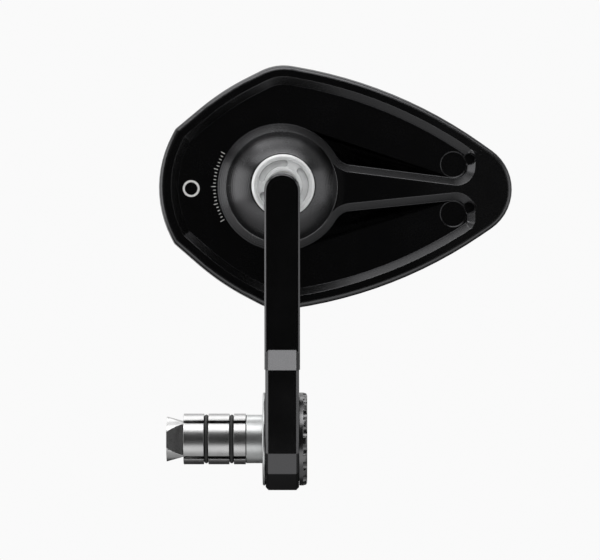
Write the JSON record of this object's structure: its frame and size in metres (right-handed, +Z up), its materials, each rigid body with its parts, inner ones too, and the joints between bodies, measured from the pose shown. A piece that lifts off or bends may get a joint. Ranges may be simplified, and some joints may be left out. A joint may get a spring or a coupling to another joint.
{
  "type": "bar end mirror",
  "caption": "Drop-shaped motorcycle mirror on a ball joint, carried by a flat arm whose eye turns on an expanding bar end mount.",
  "frame": {"origin": "on the handlebar's axis, on the inboard face of the adapter's flange, where the end of the bar rests", "axes": "+X outboard along the bar, +Y toward the rider, +Z up along the arm"},
  "size_m": [0.1258, 0.041, 0.1507],
  "materials": {
    "black_anodised": "black anodised, satin, fine tool marks",
    "silver_anodised": "silver anodised, satin",
    "mirror_glass": "flat silvered glass with ground edge",
    "bond_tape": "dull adhesive sheet",
    "seat_plastic": "matte acetal",
    "spring_steel": "plain spring steel",
    "stainless_steel": "turned stainless steel",
    "slip_plastic": "matte filled plastic",
    "plain_aluminium": "plain machined aluminium",
    "black_rubber": "smooth moulded rubber"
  },
  "bodies": {
    "bar_mount": {"bar_adapter": "silver_anodised", "bar_end_cap": "black_anodised", "cap_bolt": "stainless_steel", "bolt_washer": "stainless_steel", "eye_washer_inner": "slip_plastic", "eye_washer_outer": "slip_plastic", "segment_o_ring_inner": "black_rubber", "segment_o_ring_outer": "black_rubber"},
    "taper_nut": {"taper_nut": "plain_aluminium"},
    "segment_1": {"expander_segment_1": "plain_aluminium"},
    "segment_2": {"expander_segment_2": "plain_aluminium"},
    "segment_3": {"expander_segment_3": "plain_aluminium"},
    "segment_4": {"expander_segment_4": "plain_aluminium"},
    "arm": {"arm": "black_anodised"},
    "ball_stud": {"ball_stud": "stainless_steel"},
    "ball_seats": {"ball_seat_front": "seat_plastic", "ball_seat_rear": "seat_plastic"},
    "head": {"mirror_housing": "black_anodised", "mirror_glass": "mirror_glass", "glass_bond_pad": "bond_tape", "socket_ring": "silver_anodised", "seat_spring": "spring_steel"}
  },
  "joints": [
    {"name": "arm_swing", "type": "hinge", "parent": "bar_mount", "child": "arm", "pos_m": [0, 0, 0], "axis": [1, 0, 0], "continuous": true},
    {"name": "head_roll", "type": "hinge", "parent": "arm", "child": "ball_stud", "pos_m": [0.00698, -0.00444, 0.08953], "axis": [0, -0.9925, -0.1219], "range_deg": [-30, 210]},
    {"name": "head_pan", "type": "hinge", "parent": "ball_stud", "child": "ball_seats", "pos_m": [0.00698, -0.00444, 0.08953], "axis": [0, -0.1219, 0.9925], "range_deg": [-16, 8]},
    {"name": "head_tilt", "type": "hinge", "parent": "ball_seats", "child": "head", "pos_m": [0.00698, -0.00444, 0.08953], "axis": [0.9976, 0.0692, 0.0085], "range_deg": [-3.5, 20.5]},
    {"name": "taper_draw", "type": "slide", "parent": "bar_mount", "child": "taper_nut", "axis": [1, 0, 0], "range_m": [-0.003, 0]},
    {"name": "segment_1_spread", "type": "slide", "parent": "bar_mount", "child": "segment_1", "axis": [0, 0, -1], "range_m": [-0.0009, 0]},
    {"name": "segment_2_spread", "type": "slide", "parent": "bar_mount", "child": "segment_2", "axis": [0, 1, 0], "range_m": [-0.0009, 0]},
    {"name": "segment_3_spread", "type": "slide", "parent": "bar_mount", "child": "segment_3", "axis": [0, 0, 1], "range_m": [-0.0009, 0]},
    {"name": "segment_4_spread", "type": "slide", "parent": "bar_mount", "child": "segment_4", "axis": [0, -1, 0], "range_m": [-0.0009, 0]}
  ],
  "couplings": [
    {"joint": "segment_1_spread", "follows": "taper_draw", "ratio": 0.3},
    {"joint": "segment_2_spread", "follows": "taper_draw", "ratio": 0.3},
    {"joint": "segment_3_spread", "follows": "taper_draw", "ratio": 0.3},
    {"joint": "segment_4_spread", "follows": "taper_draw", "ratio": 0.3}
  ]
}
